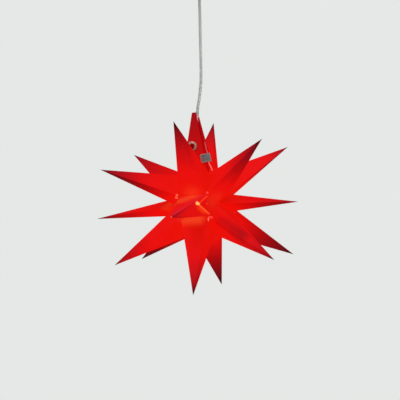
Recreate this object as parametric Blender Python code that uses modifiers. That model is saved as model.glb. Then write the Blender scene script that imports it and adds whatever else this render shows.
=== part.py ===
"""Hanging folded-foil star, lit by a small lamp on the cable that it hangs from.

Metres, +Z up, front towards -Y. The origin is the centre of the ceiling fitting's flat top face.
The star's body has the faces of a rhombicuboctahedron, folded a little flat at its sides: eighteen
four-sided ones, of which seventeen carry a hollow point and the lowest is open, and eight triangles,
each closed by a folded gusset.
"""

from itertools import product
from math import cos, pi, radians, sin, sqrt, tan

import bmesh
import bpy
from mathutils import Matrix, Vector

# Running and seating clearance between touching pieces
FIT_GAP = 0.0003

# Star body: edges that two points share, and edges of the triangular gaps
SQUARE_SIDE = 0.0175
GUSSET_SIDE = 0.0137

# How far the corners of the two side points' bases stand off the even body, as shares of SQUARE_SIDE:
# to the right, to the back and up. Both bases are folded along their upright diagonals, which flattens
# those two points. Each key has a corner's signs along the body's cube axes.
CORNER_SHIFT_SHARES = {
    (1, -1, 1): (0.017, 0.0, -0.406),
    (1, 1, -1): (0.029, 0.0, 0.371),
    (1, -1, -1): (-0.309, -0.034, 0.017),
    (1, 1, 1): (-0.309, 0.034, 0.011),
    (-1, -1, 1): (-0.023, 0.0, -0.434),
    (-1, 1, -1): (-0.034, 0.0, 0.371),
    (-1, -1, -1): (0.337, -0.034, 0.051),
    (-1, 1, 1): (0.320, 0.034, 0.0),
}

# Points
TIP_RADIUS = 0.0688
FOIL = 0.0005
RIM_SHARE = 0.30
CABLE_POINT_END_SIDE = 0.0033

# How the star hangs: its centre, turned about its cable point, then leaning left and back
STAR_OFFSET_X = 0.0010
STAR_OFFSET_Y = 0.0010
STAR_DROP = 0.1480
STAR_TURN = radians(-13.6)
STAR_LEAN_SIDE = radians(-4.8)
STAR_LEAN_BACK = radians(1.3)

# Each point's direction in the body's cube axes, its reach from the centre and the lean of its tip
# along its first and second base sides, as shares of TIP_RADIUS
POINT_SHARES = {
    "point_upper_front": ((0, -1, 0), 1.03, -0.012, 0.035),
    "point_upper_back": ((0, 0, 1), 1.03, 0.014, -0.015),
    "point_lower_front": ((0, 0, -1), 1.03, 0.032, -0.038),
    "point_lower_back": ((0, 1, 0), 1.052, -0.034, 0.061),
    "point_left": ((-1, 0, 0), 0.99, 0.039, 0.040),
    "point_right": ((1, 0, 0), 0.893, 0.012, -0.044),
    "point_front": ((0, -1, -1), 1.01, -0.03, -0.06),
    "point_back": ((0, 1, 1), 1.00, 0.00, 0.00),
    "cable_point": ((0, -1, 1), 0.96, 0.018, 0.00),
    "point_left_upper_front": ((-1, -1, 0), 0.99, -0.090, 0.083),
    "point_left_upper_back": ((-1, 0, 1), 1.01, -0.008, 0.016),
    "point_left_lower_front": ((-1, 0, -1), 0.984, -0.030, -0.018),
    "point_left_lower_back": ((-1, 1, 0), 1.01, 0.010, -0.033),
    "point_right_upper_front": ((1, -1, 0), 1.02, 0.028, 0.019),
    "point_right_upper_back": ((1, 0, 1), 1.005, 0.038, -0.043),
    "point_right_lower_front": ((1, 0, -1), 1.018, 0.012, 0.010),
    "point_right_lower_back": ((1, 1, 0), 1.024, -0.025, -0.013),
}

# Gussets: the triangle each one closes, and the point that its folded tongue lies against
GUSSETS = {
    "gusset_front_right": ((1, -1, -1), "point_front"),
    "gusset_front_left": ((-1, -1, -1), "point_front"),
    "gusset_top_right": ((1, -1, 1), "cable_point"),
    "gusset_top_left": ((-1, -1, 1), "cable_point"),
    "gusset_back_right": ((1, 1, 1), "point_back"),
    "gusset_back_left": ((-1, 1, 1), "point_back"),
    "gusset_bottom_right": ((1, 1, -1), None),
    "gusset_bottom_left": ((-1, 1, -1), None),
}
GUSSET_CORNER_CUT = 0.0006
TONGUE_LENGTH = 0.0165
TONGUE_SKEW = 0.0026
TONGUE_LIFT = 0.0009

# Corner pins: ball head outside, shank, umbrella washer inside
PIN_HEAD_RADIUS = 0.0008
PIN_HEAD_HEIGHT = 0.0020
PIN_SHANK_RADIUS = 0.0004
PIN_WASHER_RADIUS = 0.0013
PIN_WASHER_EDGE = 0.0003
PIN_WASHER_SLOPE = radians(50.0)
PIN_HOLE_DEPTH = 0.0030
PIN_STEPS = 8

# Slit down the cable point's front right edge, and the clip that closes it
SLIT_WIDTH = 0.0010
SLIT_DEPTH = 0.0025
CLIP_FROM_BASE = 0.0096
CLIP_HEIGHT = 0.0053
CLIP_FRONT_WING = 0.0034
CLIP_SIDE_WING = 0.0027
CLIP_SHEET = 0.0005
CLIP_WEB = 0.0004
CLIP_BEND = radians(20.0)
CLIP_INNER_DEPTH = 0.0021
CLIP_INNER_WIDTH = 0.0017

# Eyelet in the cable point's front wall: how wide the wall is where it sits, and how far left of the
# wall's middle
EYELET_WALL_WIDTH = 0.0109
EYELET_SIDE = 0.0020
EYELET_FLANGE_RADIUS = 0.0032
EYELET_INNER_FLANGE_RADIUS = 0.0025
EYELET_BARREL_RADIUS = 0.0021
EYELET_BORE_RADIUS = 0.0018
EYELET_LIP = 0.0005
EYELET_STEPS = 24

# Cable: from under the swivel ball, then by a hand-chosen route, with heights above the star's centre,
# down into the cable point to the lamp holder
CABLE_RADIUS = 0.00095
CABLE_TOP = (0.0, 0.0, -0.0198)
CABLE_DESCENT = (
    (0.0006, -0.0006, 0.1000),
    (0.0009, -0.0011, 0.0870),
    (0.0009, -0.0016, 0.0770),
    (0.0002, -0.0020, 0.0680),
    (-0.0009, -0.0021, 0.0610),
    (-0.0013, -0.0013, 0.0562),
    (-0.0015, 0.0000, 0.0522),
    (-0.0024, -0.0003, 0.0452),
    (-0.0021, -0.0002, 0.0370),
    (-0.0016, -0.0002, 0.0280),
    (-0.0013, -0.0002, 0.0205),
    (-0.0013, -0.0002, 0.0165),
)
CABLE_POINTS = 30
CABLE_SPAN_STEPS = 12
CABLE_BEVEL_RESOLUTION = 2
STOP_ROUTE_INDEX = 8

# Cable stop, which the narrow end of the cable point rests on
STOP_RADIUS = 0.0018
STOP_HEIGHT = 0.0030
STOP_ROUND = 0.0003
STOP_STEPS = 16

# Lamp holder and lamp
HOLDER_RADIUS = 0.0036
HOLDER_LENGTH = 0.0120
HOLDER_NECK_RADIUS = 0.0020
HOLDER_NECK_LENGTH = 0.0030
HOLDER_GRIP_DEPTH = 0.0003
HOLDER_GRIP_COUNT = 4
HOLDER_BORE_DEPTH = 0.0055
LAMP_STEM_RADIUS = 0.0018
LAMP_STEM_LENGTH = 0.0050
LAMP_DOME_RADIUS = 0.0025
LAMP_DOME_LENGTH = 0.0062
LAMP_FLANGE_RADIUS = 0.0030
LAMP_FLANGE_THICKNESS = 0.0009
LAMP_STEPS = 20
ARC_POINTS = 6

# Ceiling fitting
CANOPY_RADIUS = 0.0210
CANOPY_HEIGHT = 0.0155
CANOPY_WALL = 0.0014
CANOPY_ROUND = 0.0060
PLATE_THICKNESS = 0.0020
PLATE_SCREW_SPACING = 0.0240
PLATE_SCREW_RADIUS = 0.0018
PLATE_WIRE_HOLE_RADIUS = 0.0030
PLATE_WIRE_HOLE_Y = 0.0095
FITTING_STEPS = 40

# Swivel: a ball in the grip's socket, with the cable leaving at its lowest point
BALL_RADIUS = 0.0040
BALL_FLAT_RADIUS = 0.0011
GRIP_RADIUS = 0.0062
GRIP_COLLAR_RADIUS = 0.0080
GRIP_COLLAR_THICKNESS = 0.0014
GRIP_TOP_BORE_RADIUS = 0.0016
GRIP_LIP_ANGLE = radians(38.0)
SWIVEL_STEPS = 24

CUT_OVERRUN = 0.0010
HOLE_STEPS = 12
MERGE = 0.000001

# Sizes that follow from the ones above
HALF_SQUARE = SQUARE_SIDE / 2
SQUARE_REACH = HALF_SQUARE + GUSSET_SIDE / sqrt(2)
EDGE_REACH = (HALF_SQUARE + SQUARE_REACH) / sqrt(2)
SEAM = FIT_GAP / (2 * cos(pi / 8))
PIN_HOLE_RADIUS = PIN_SHANK_RADIUS + FIT_GAP
CABLE_ROUTE = (CABLE_TOP,) + tuple((x, y, above - STAR_DROP) for x, y, above in CABLE_DESCENT)
BALL_CENTRE_Z = CABLE_TOP[2] + FIT_GAP + sqrt(BALL_RADIUS**2 - BALL_FLAT_RADIUS**2)
HOLDER_TOP_Z = CABLE_ROUTE[-1][2] - FIT_GAP


def clear_scene():
    """Remove every object, so that a rerun starts from nothing"""
    for ob in list(bpy.data.objects):
        bpy.data.objects.remove(ob, do_unlink=True)


def collection(name):
    """A collection linked to the scene, new or emptied"""
    found = bpy.data.collections.get(name) or bpy.data.collections.new(name)
    if found.name not in bpy.context.scene.collection.children:
        bpy.context.scene.collection.children.link(found)
    return found


def principled(name, colour, roughness, metallic=0.0, alpha=1.0):
    """One plain surface"""
    mat = bpy.data.materials.new(name)
    mat.use_nodes = True
    shader = mat.node_tree.nodes["Principled BSDF"]
    shader.inputs["Base Color"].default_value = (*colour, 1.0)
    shader.inputs["Roughness"].default_value = roughness
    shader.inputs["Metallic"].default_value = metallic
    shader.inputs["Alpha"].default_value = alpha
    mat.diffuse_color = (*colour, alpha)
    return mat


def make_object(name, data, group, mat=None, parent=None, placement=None):
    """An object in its collection, placed in its parent's frame"""
    ob = bpy.data.objects.new(name, data)
    group.objects.link(ob)
    if mat is not None and not data.materials:
        data.materials.append(mat)
    ob.parent = parent
    if placement is not None:
        ob.matrix_basis = placement
    return ob


def mesh_from(bm, name):
    """The finished bmesh as a mesh"""
    mesh = bpy.data.meshes.new(name)
    bm.to_mesh(mesh)
    bm.free()
    return mesh


def frame_at(origin, x_axis, y_axis, z_axis):
    """A placement from an origin and three axes"""
    turn = Matrix((x_axis, y_axis, z_axis)).transposed().to_4x4()
    return Matrix.Translation(origin) @ turn


def as_cutter(ob):
    """Mark an object as one that only cuts others"""
    ob.hide_render = True
    ob.display_type = "WIRE"
    return ob


def cut(ob, cutter):
    """Take the cutter away from the object"""
    mod = ob.modifiers.new("cut_" + cutter.name, "BOOLEAN")
    mod.operation = "DIFFERENCE"
    mod.object = cutter


def solidify(ob, thickness, offset):
    """Give an open surface its wall, to one side"""
    mod = ob.modifiers.new("wall", "SOLIDIFY")
    mod.thickness = thickness
    mod.offset = offset
    mod.use_even_offset = True
    mod.use_rim = True


def arc(centre_r, centre_z, radius, start, end, count):
    """Profile points on an arc, from the start angle to the end angle"""
    turns = [start + (end - start) * i / (count - 1) for i in range(count)]
    return [(centre_r + radius * cos(a), centre_z + radius * sin(a)) for a in turns]


def turned(name, profile, closed, steps, group, mat, parent=None, placement=None):
    """A profile of (radius, height) points, swept once round +Z"""
    bm = bmesh.new()
    verts = [bm.verts.new((r, 0.0, z)) for r, z in profile]
    pairs = list(zip(verts, verts[1:]))
    if closed:
        pairs.append((verts[-1], verts[0]))
    for a, b in pairs:
        bm.edges.new((a, b))
    ob = make_object(name, mesh_from(bm, name), group, mat, parent, placement)
    add_screw(ob, steps)
    return ob


def add_screw(ob, steps):
    """Sweep the object's profile a full turn about its Z axis"""
    mod = ob.modifiers.new("turn", "SCREW")
    mod.axis = "Z"
    mod.angle = 2 * pi
    mod.steps = steps
    mod.render_steps = steps
    mod.use_merge_vertices = True
    mod.merge_threshold = MERGE
    mod.use_smooth_shade = True


def cylinder_cutter(name, radius, bottom, top, steps, group, parent=None, placement=None):
    """A round cutter along its own Z axis"""
    bm = bmesh.new()
    middle = Matrix.Translation((0.0, 0.0, (top + bottom) / 2))
    bmesh.ops.create_cone(
        bm, cap_ends=True, segments=steps, radius1=radius, radius2=radius, depth=top - bottom, matrix=middle
    )
    return as_cutter(make_object(name, mesh_from(bm, name), group, None, parent, placement))


def star_frame(group):
    """The empty that carries the star: cube axes tipped on edge, turned, then leaning as it hangs"""
    empty = bpy.data.objects.new("star_frame", None)
    group.objects.link(empty)
    lean = Matrix.Rotation(STAR_LEAN_SIDE, 4, "Y") @ Matrix.Rotation(STAR_LEAN_BACK, 4, "X")
    upright = Matrix.Rotation(STAR_TURN, 4, "Z") @ Matrix.Rotation(-pi / 4, 4, "X")
    centre = Matrix.Translation((STAR_OFFSET_X, STAR_OFFSET_Y, -STAR_DROP))
    empty.matrix_basis = centre @ lean @ upright
    return empty


def body_corner(signs, long_axis):
    """One of the body's twenty-four corners, in the star's frame"""
    corner = Vector([sign * HALF_SQUARE for sign in signs])
    corner[long_axis] = signs[long_axis] * SQUARE_REACH
    if long_axis == 0:
        right, back, up = CORNER_SHIFT_SHARES[signs]
        corner += SQUARE_SIDE * Vector((right, (back - up) / sqrt(2), (back + up) / sqrt(2)))
    return corner


def inset(corners, width):
    """The corners of a ring, each moved inwards so that every side moves by the width"""
    moved = []
    for here, after, before in zip(corners, corners[1:] + corners[:1], corners[-1:] + corners[:-1]):
        one = (after - here).normalized()
        other = (before - here).normalized()
        moved.append(here + (one + other) * (width / one.cross(other).length))
    return moved


class PointForm:
    """The measures of one point, in the star's frame"""

    def __init__(self, name):
        direction, reach, lean_u, lean_w = POINT_SHARES[name]
        self.normal = Vector(direction).normalized()
        self.u = Vector([float(axis == direction.index(0)) for axis in range(3)])
        self.w = self.normal.cross(self.u)
        self.base = EDGE_REACH if direction.count(0) == 1 else SQUARE_REACH
        self.height = reach * TIP_RADIUS - self.base
        self.tip = Vector((lean_u * TIP_RADIUS, lean_w * TIP_RADIUS, self.height))
        sides = ((1, 1), (-1, 1), (-1, -1), (1, -1))
        self.corners = dict(zip(sides, inset([self.body_place(*side) for side in sides], SEAM)))

    def placement(self):
        """Base centre at the origin, base sides along X and Y, point along +Z"""
        return frame_at(self.normal * self.base, self.u, self.w, self.normal)

    def fold_centre(self):
        """The middle of the base's outer diagonal, along which a twisted base is folded"""
        diagonals = [self.corners[(1, turn)] + self.corners[(-1, -turn)] for turn in (1, -1)]
        return max(diagonals, key=lambda ends: ends.z) / 2

    def body_place(self, side_u, side_w):
        """The body's corner on one side of the base, in the point's own frame"""
        aim = self.normal + (self.u * side_u + self.w * side_w) / 2
        signs = tuple(1 if along > 0 else -1 for along in aim)
        long_axis = max(range(3), key=lambda axis: abs(aim[axis]))
        return self.placement().inverted() @ body_corner(signs, long_axis)


def point_surface(form, end_side):
    """Four walls with a rim folded in round the open base, cut off flat where end_side wide, if at all"""
    kept = end_side / SQUARE_SIDE
    corner_radius = sqrt(2)
    bm = bmesh.new()
    bmesh.ops.create_cone(
        bm, cap_ends=True, segments=4, radius1=corner_radius, radius2=kept * corner_radius, depth=1.0,
        matrix=Matrix.Rotation(pi / 4, 4, "Z"),
    )
    bmesh.ops.remove_doubles(bm, verts=bm.verts, dist=MERGE)
    bm.normal_update()
    ends = [face for face in bm.faces if abs(face.normal.z) > cos(pi / 8)]
    base = min(ends, key=lambda face: face.calc_center_median().z)
    bmesh.ops.delete(bm, geom=[face for face in ends if face is not base], context="FACES_ONLY")
    for vert in bm.verts:
        sides = (1 if vert.co.x > 0 else -1, 1 if vert.co.y > 0 else -1)
        share = 0.0 if vert.co.z < 0 else 1 - kept
        vert.co = form.corners[sides].lerp(form.tip, share)
    bm.normal_update()
    outer = list(base.verts)
    bmesh.ops.inset_region(bm, faces=[base], thickness=SEAM)
    for edge in bm.edges:
        inside = [vert for vert in edge.verts if vert in base.verts]
        outside = [vert for vert in edge.verts if vert in outer]
        if inside and outside:
            inside[0].co = outside[0].co.lerp(form.fold_centre(), RIM_SHARE)
    bmesh.ops.delete(bm, geom=[base], context="FACES_ONLY")
    return bm


def make_point(name, group, mat, parent, pin_holes):
    """One hollow point, its corners notched round the pins"""
    form = PointForm(name)
    end_side = CABLE_POINT_END_SIDE if name == "cable_point" else 0.0
    mesh = mesh_from(point_surface(form, end_side), name)
    ob = make_object(name, mesh, group, mat, parent, form.placement())
    solidify(ob, FOIL, -1.0)
    cut(ob, pin_holes)
    return ob


def body_corners():
    """All of the body's corners, in the star's frame"""
    return [body_corner(signs, axis) for axis in range(3) for signs in product((-1, 1), repeat=3)]


def radial_placement(corner):
    """A corner's frame, with Z pointing straight out of the body"""
    return Matrix.Translation(corner) @ corner.to_track_quat("Z", "Y").to_matrix().to_4x4()


def make_pin_holes(group, parent):
    """Every corner's round notch, as one cutter"""
    bm = bmesh.new()
    length = PIN_HOLE_DEPTH + PIN_HEAD_HEIGHT
    shift = Matrix.Translation((0.0, 0.0, (PIN_HEAD_HEIGHT - PIN_HOLE_DEPTH) / 2))
    for corner in body_corners():
        bmesh.ops.create_cone(
            bm, cap_ends=True, segments=HOLE_STEPS, radius1=PIN_HOLE_RADIUS, radius2=PIN_HOLE_RADIUS,
            depth=length, matrix=radial_placement(corner) @ shift,
        )
    return as_cutter(make_object("pin_holes", mesh_from(bm, "pin_holes"), group, None, parent))


def pin_profile():
    """Ball head on top, shank, and a washer that follows the body's slope inwards"""
    slope = tan(PIN_WASHER_SLOPE)
    drop = FIT_GAP * sqrt(1 + slope**2)
    neck_z = PIN_HEAD_HEIGHT - sqrt(PIN_HEAD_RADIUS**2 - PIN_SHANK_RADIUS**2)
    shoulder_z = -slope * PIN_SHANK_RADIUS - drop
    brim_z = -slope * PIN_WASHER_RADIUS - drop
    head = arc(0.0, PIN_HEAD_HEIGHT, PIN_HEAD_RADIUS, pi / 2, -pi / 3, ARC_POINTS)
    return [
        (0.0, PIN_HEAD_HEIGHT + PIN_HEAD_RADIUS),
        *head[1:-1],
        (PIN_SHANK_RADIUS, neck_z),
        (PIN_SHANK_RADIUS, shoulder_z),
        (PIN_WASHER_RADIUS, brim_z),
        (PIN_WASHER_RADIUS, brim_z - PIN_WASHER_EDGE),
        (0.0, shoulder_z - PIN_WASHER_EDGE),
    ]


def make_pins(group, mat, parent):
    """A pin at every corner, all sharing one profile"""
    first = turned("corner_pin_01", pin_profile(), False, PIN_STEPS, group, mat, parent)
    for number, corner in enumerate(body_corners(), 1):
        pin = first
        if number > 1:
            pin = make_object(f"corner_pin_{number:02d}", first.data, group, mat, parent)
            add_screw(pin, PIN_STEPS)
        pin.matrix_basis = radial_placement(corner)


def tongue_apex(signs, form):
    """Where a gusset's tongue ends, just off the wall of the point that it lies against"""
    side = signs[0]
    low = form.corners[(side, -1)]
    high = form.corners[(side, 1)]
    foot = (low + high) / 2
    rise = (form.tip - foot).normalized()
    out = (high - low).cross(rise).normalized() * side
    skew = (high - low).normalized() * TONGUE_SKEW
    return form.placement() @ (foot + rise * TONGUE_LENGTH + out * (FIT_GAP + TONGUE_LIFT) + skew)


def gusset_placement(top, foot_one, foot_two):
    """A triangle's frame: X along its crease, Y towards its top corner, Z out of the body"""
    across = (foot_two - foot_one).normalized()
    rise = top - foot_one
    upwards = (rise - across * rise.dot(across)).normalized()
    normal = across.cross(upwards)
    if normal.dot(top) < 0:
        across, normal = -across, -normal
    return frame_at((top + foot_one + foot_two) / 3, across, upwards, normal)


def gusset_surface(corners):
    """A flat triangle with cut corners, facing up"""
    bm = bmesh.new()
    bmesh.ops.create_circle(bm, cap_ends=True, segments=3, radius=1.0)
    for vert, corner in zip(bm.verts, corners):
        vert.co = corner
    bmesh.ops.bevel(bm, geom=list(bm.verts), offset=GUSSET_CORNER_CUT, segments=1, affect="VERTICES")
    bm.normal_update()
    facing_in = [face for face in bm.faces if face.normal.z < 0]
    bmesh.ops.reverse_faces(bm, faces=facing_in)
    return bm


def add_tongue(bm, apex):
    """A pointed tongue, folded up from the triangle's lowest side"""
    crease = min(bm.edges, key=lambda edge: sum(vert.co.y for vert in edge.verts))
    grown = bmesh.ops.extrude_edge_only(bm, edges=[crease])["geom"]
    ends = [item for item in grown if isinstance(item, bmesh.types.BMVert)]
    bmesh.ops.pointmerge(bm, verts=ends, merge_co=apex)


def make_gusset(name, group, mat, parent):
    """A triangle of foil, with a tongue that lies against the neighbouring point"""
    signs, neighbour = GUSSETS[name]
    corners = [body_corner(signs, axis) for axis in range(3)]
    placement = gusset_placement(*corners)
    to_own = placement.inverted()
    bm = gusset_surface(inset([to_own @ corner for corner in corners], 2 * SEAM))
    if neighbour is not None:
        add_tongue(bm, to_own @ tongue_apex(signs, PointForm(neighbour)))
    ob = make_object(name, mesh_from(bm, name), group, mat, parent, placement)
    solidify(ob, FOIL, 1.0)


def slit_axes(form):
    """The slit edge's corner, its direction, and the two walls' directions square to it"""
    corner = form.corners[(1, -1)]
    along = (form.tip - corner).normalized()
    front = Vector((-1.0, 0.0, 0.0))
    right = Vector((0.0, 1.0, 0.0))
    front = (front - along * front.dot(along)).normalized()
    right = (right - along * right.dot(along)).normalized()
    return corner, along, front, right


def make_slit(form, group, parent):
    """Cutter for the slit down the cable point's front right edge"""
    corner, along, front, right = slit_axes(form)
    inward = (front + right).normalized()
    across = along.cross(inward)
    bm = bmesh.new()
    bmesh.ops.create_cube(bm, size=1.0)
    length = form.height + 2 * CUT_OVERRUN
    bmesh.ops.scale(bm, vec=(SLIT_WIDTH, 2 * SLIT_DEPTH, length), verts=bm.verts)
    middle = corner + along * (form.height / 2)
    placement = form.placement() @ frame_at(middle, across, -inward, along)
    return as_cutter(make_object("slit", mesh_from(bm, "slit"), group, None, parent, placement))


def clip_outline(front, right):
    """Section of the clip across the slit: bent outer plate, web, inner plate. X runs along the front
    wall from the corner and Y straight out of it."""
    half_angle = front.angle(right) / 2
    inward = Vector((cos(half_angle), -sin(half_angle)))
    across = Vector((sin(half_angle), cos(half_angle)))
    wing = Vector((-cos(CLIP_BEND), -sin(CLIP_BEND)))
    wing_out = Vector((-sin(CLIP_BEND), cos(CLIP_BEND)))
    root = Vector((0.0, FIT_GAP))
    mitre = CLIP_SHEET * tan(CLIP_BEND / 2)
    web = across * (CLIP_WEB / 2)
    foot = inward * CLIP_INNER_DEPTH
    sole = inward * (CLIP_INNER_DEPTH + CLIP_SHEET)
    toe = across * (CLIP_INNER_WIDTH / 2)
    web_rise = (FIT_GAP - web.y) / inward.y
    web_left = web + inward * web_rise
    wing_rise = (wing_out.dot(root) + wing_out.dot(web)) / wing_out.dot(inward)
    web_right = inward * wing_rise - web
    return [
        Vector((CLIP_FRONT_WING, FIT_GAP)),
        Vector((CLIP_FRONT_WING, FIT_GAP + CLIP_SHEET)),
        root + Vector((-mitre, CLIP_SHEET)),
        root + wing * CLIP_SIDE_WING + wing_out * CLIP_SHEET,
        root + wing * CLIP_SIDE_WING,
        web_right,
        foot - web,
        foot - toe,
        sole - toe,
        sole + toe,
        foot + toe,
        foot + web,
        web_left,
    ]


def make_clip(group, mat, parent):
    """Sheet-metal clip that holds the slit's two foil edges together"""
    form = PointForm("cable_point")
    corner, along, front, right = slit_axes(form)
    outline = clip_outline(front, right)
    curve = bpy.data.curves.new("seam_clip", "CURVE")
    curve.dimensions = "2D"
    curve.fill_mode = "BOTH"
    curve.extrude = CLIP_HEIGHT / 2
    spline = curve.splines.new("POLY")
    spline.points.add(len(outline) - 1)
    for place, corner_2d in zip(spline.points, outline):
        place.co = (corner_2d.x, corner_2d.y, 0.0, 1.0)
    spline.use_cyclic_u = True
    own_frame = frame_at(corner + along * CLIP_FROM_BASE, front, along.cross(front), along)
    make_object("seam_clip", curve, group, mat, parent, form.placement() @ own_frame)


def eyelet_placement(form):
    """On the cable point's front wall, with Z straight out of it"""
    left, right = form.corners[(-1, -1)], form.corners[(1, -1)]
    foot = (left + right) / 2
    across, slant = right - left, form.tip - foot
    height = 1 - EYELET_WALL_WIDTH / across.length
    place = foot + slant * height - across.normalized() * EYELET_SIDE
    rise = slant.normalized()
    out = across.cross(slant).normalized()
    return form.placement() @ frame_at(place, rise.cross(out), rise, out)


def make_eyelet(group, mat, parent, placement):
    """Rolled metal eyelet, its flanges either side of the foil"""
    top = FIT_GAP + EYELET_LIP
    inner = -FOIL - FIT_GAP
    flange = EYELET_FLANGE_RADIUS
    profile = [
        (EYELET_BORE_RADIUS, top),
        (flange - EYELET_LIP / 2, top),
        (flange, FIT_GAP + EYELET_LIP / 2),
        (flange, FIT_GAP),
        (EYELET_BARREL_RADIUS, FIT_GAP),
        (EYELET_BARREL_RADIUS, inner),
        (EYELET_INNER_FLANGE_RADIUS, inner),
        (EYELET_INNER_FLANGE_RADIUS, inner - EYELET_LIP),
        (EYELET_BORE_RADIUS, inner - EYELET_LIP),
    ]
    return turned("eyelet", profile, True, EYELET_STEPS, group, mat, parent, placement)


def smooth_route():
    """The cable's points, evenly spaced on a smooth curve through the chosen ones"""
    knots = [Vector(point) for point in CABLE_ROUTE]
    knots = [2 * knots[0] - knots[1]] + knots + [2 * knots[-1] - knots[-2]]
    fine = []
    for a, b, c, d in zip(knots, knots[1:], knots[2:], knots[3:]):
        for step in range(CABLE_SPAN_STEPS):
            t = step / CABLE_SPAN_STEPS
            linear = (c - a) * t
            square = (2 * a - 5 * b + 4 * c - d) * t**2
            cubic = (3 * b - a - 3 * c + d) * t**3
            fine.append(b + (linear + square + cubic) / 2)
    fine.append(knots[-2])
    lengths = [0.0]
    for here, there in zip(fine, fine[1:]):
        lengths.append(lengths[-1] + (there - here).length)
    return evenly(fine, lengths)


def evenly(fine, lengths):
    """Points at equal distances along a finely drawn line"""
    points = []
    index = 0
    for number in range(CABLE_POINTS):
        wanted = lengths[-1] * number / (CABLE_POINTS - 1)
        while index < len(lengths) - 2 and lengths[index + 1] < wanted:
            index += 1
        share = (wanted - lengths[index]) / (lengths[index + 1] - lengths[index])
        points.append(fine[index].lerp(fine[index + 1], share))
    return points


def tube(name, radius, group, mat=None):
    """A round tube along the cable's route"""
    points = smooth_route()
    curve = bpy.data.curves.new(name, "CURVE")
    curve.dimensions = "3D"
    curve.bevel_depth = radius
    curve.bevel_resolution = CABLE_BEVEL_RESOLUTION
    curve.use_fill_caps = True
    spline = curve.splines.new("POLY")
    spline.points.add(len(points) - 1)
    for place, point in zip(spline.points, points):
        place.co = (*point, 1.0)
    return make_object(name, curve, group, mat)


def tube_cutter(name, radius, group):
    """The same tube as a closed mesh, to clear the cable's way"""
    ob = tube(name + "_route", radius, group)
    graph = bpy.context.evaluated_depsgraph_get()
    mesh = bpy.data.meshes.new_from_object(ob.evaluated_get(graph))
    bpy.data.objects.remove(ob, do_unlink=True)
    bm = bmesh.new()
    bm.from_mesh(mesh)
    bmesh.ops.remove_doubles(bm, verts=bm.verts, dist=MERGE)
    bmesh.ops.recalc_face_normals(bm, faces=bm.faces)
    bm.to_mesh(mesh)
    bm.free()
    return as_cutter(make_object(name, mesh, group))


def make_stop(group, mat):
    """Short crimped sleeve on the cable, under the cable point's narrow end"""
    route = [Vector(point) for point in CABLE_ROUTE]
    place = route[STOP_ROUTE_INDEX]
    along = (route[STOP_ROUTE_INDEX - 1] - route[STOP_ROUTE_INDEX + 1]).normalized()
    placement = Matrix.Translation(place) @ along.to_track_quat("Z", "Y").to_matrix().to_4x4()
    half = STOP_HEIGHT / 2
    bore = CABLE_RADIUS + FIT_GAP
    profile = [
        (bore, half),
        (STOP_RADIUS - STOP_ROUND, half),
        (STOP_RADIUS, half - STOP_ROUND),
        (STOP_RADIUS, STOP_ROUND - half),
        (STOP_RADIUS - STOP_ROUND, -half),
        (bore, -half),
    ]
    return turned("cable_stop", profile, True, STOP_STEPS, group, mat, None, placement)


def lamp_place(z):
    """Straight under the cable's lower end, at a height"""
    x, y, _ = CABLE_ROUTE[-1]
    return Matrix.Translation((x, y, z))


def make_holder(group, mat):
    """Push-in lamp holder with gripping grooves and a necked cable end"""
    shoulder = -HOLDER_NECK_LENGTH
    profile = [(0.0, 0.0), (HOLDER_NECK_RADIUS, 0.0), (HOLDER_NECK_RADIUS, shoulder / 2)]
    profile += [(HOLDER_RADIUS - HOLDER_GRIP_DEPTH, shoulder), (HOLDER_RADIUS, shoulder - HOLDER_GRIP_DEPTH)]
    pitch = (HOLDER_LENGTH - HOLDER_NECK_LENGTH) / (HOLDER_GRIP_COUNT + 2)
    for number in range(1, HOLDER_GRIP_COUNT + 1):
        z = shoulder - number * pitch
        profile += [
            (HOLDER_RADIUS, z + HOLDER_GRIP_DEPTH),
            (HOLDER_RADIUS - HOLDER_GRIP_DEPTH, z),
            (HOLDER_RADIUS, z - HOLDER_GRIP_DEPTH),
        ]
    bore = LAMP_STEM_RADIUS + FIT_GAP
    profile += [
        (HOLDER_RADIUS, -HOLDER_LENGTH),
        (bore, -HOLDER_LENGTH),
        (bore, HOLDER_BORE_DEPTH - HOLDER_LENGTH),
        (0.0, HOLDER_BORE_DEPTH - HOLDER_LENGTH),
    ]
    return turned("lamp_holder", profile, False, LAMP_STEPS, group, mat, None, lamp_place(HOLDER_TOP_Z))


def make_lamp(group, mat):
    """Domed lamp whose stem pushes up into the holder"""
    flange_top = -FIT_GAP
    flange_bottom = flange_top - LAMP_FLANGE_THICKNESS
    dome_centre = flange_bottom - LAMP_DOME_LENGTH + LAMP_DOME_RADIUS
    profile = [
        (0.0, LAMP_STEM_LENGTH),
        (LAMP_STEM_RADIUS, LAMP_STEM_LENGTH),
        (LAMP_STEM_RADIUS, flange_top),
        (LAMP_FLANGE_RADIUS, flange_top),
        (LAMP_FLANGE_RADIUS, flange_bottom),
        (LAMP_DOME_RADIUS, flange_bottom),
    ]
    profile += arc(0.0, dome_centre, LAMP_DOME_RADIUS, 0.0, -pi / 2, ARC_POINTS)[:-1]
    profile.append((0.0, dome_centre - LAMP_DOME_RADIUS))
    place = lamp_place(HOLDER_TOP_Z - HOLDER_LENGTH)
    return turned("led_lamp", profile, False, LAMP_STEPS, group, mat, None, place)


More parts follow.
